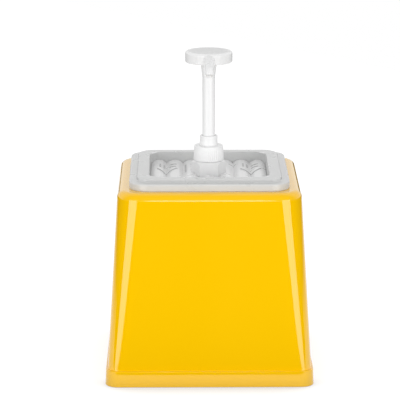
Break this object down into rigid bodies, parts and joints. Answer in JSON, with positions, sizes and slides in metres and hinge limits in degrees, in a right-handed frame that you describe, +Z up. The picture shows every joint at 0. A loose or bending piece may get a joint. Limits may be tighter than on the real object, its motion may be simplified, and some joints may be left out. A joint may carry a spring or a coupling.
{
  "type": "sauce pump dispenser",
  "caption": "Square tapered countertop dispenser with a lift-out container, ribbed lid and a press pump whose spout swivels.",
  "frame": {"origin": "centre of the square foot on the surface it stands on, under the pump's axis", "axes": "+Z up along the pump's axis; the spout points along -Y; +X to the right as seen from the spout's side"},
  "size_m": [0.2, 0.2, 0.309],
  "materials": {
    "housing_plastic": "glossy moulded plastic, warm yellow",
    "natural_plastic": "satin translucent undyed plastic, pale grey",
    "white_plastic": "satin white moulded plastic"
  },
  "bodies": {
    "dispenser": {"housing": "housing_plastic", "container": "natural_plastic", "lid": "natural_plastic", "screw_cap": "white_plastic", "pump_body": "white_plastic", "dip_tube": "natural_plastic"},
    "plunger": {"piston": "white_plastic"},
    "head": {"stem": "white_plastic", "pump_head": "white_plastic"}
  },
  "joints": [
    {"name": "pump_stroke", "type": "slide", "parent": "dispenser", "child": "plunger", "axis": [0, 0, -1], "range_m": [0, 0.055], "stiffness_N_per_m": 250, "springref_m": -0.06},
    {"name": "spout_swivel", "type": "hinge", "parent": "plunger", "child": "head", "pos_m": [0, 0, 0.25], "axis": [0, 0, 1], "continuous": true}
  ]
}
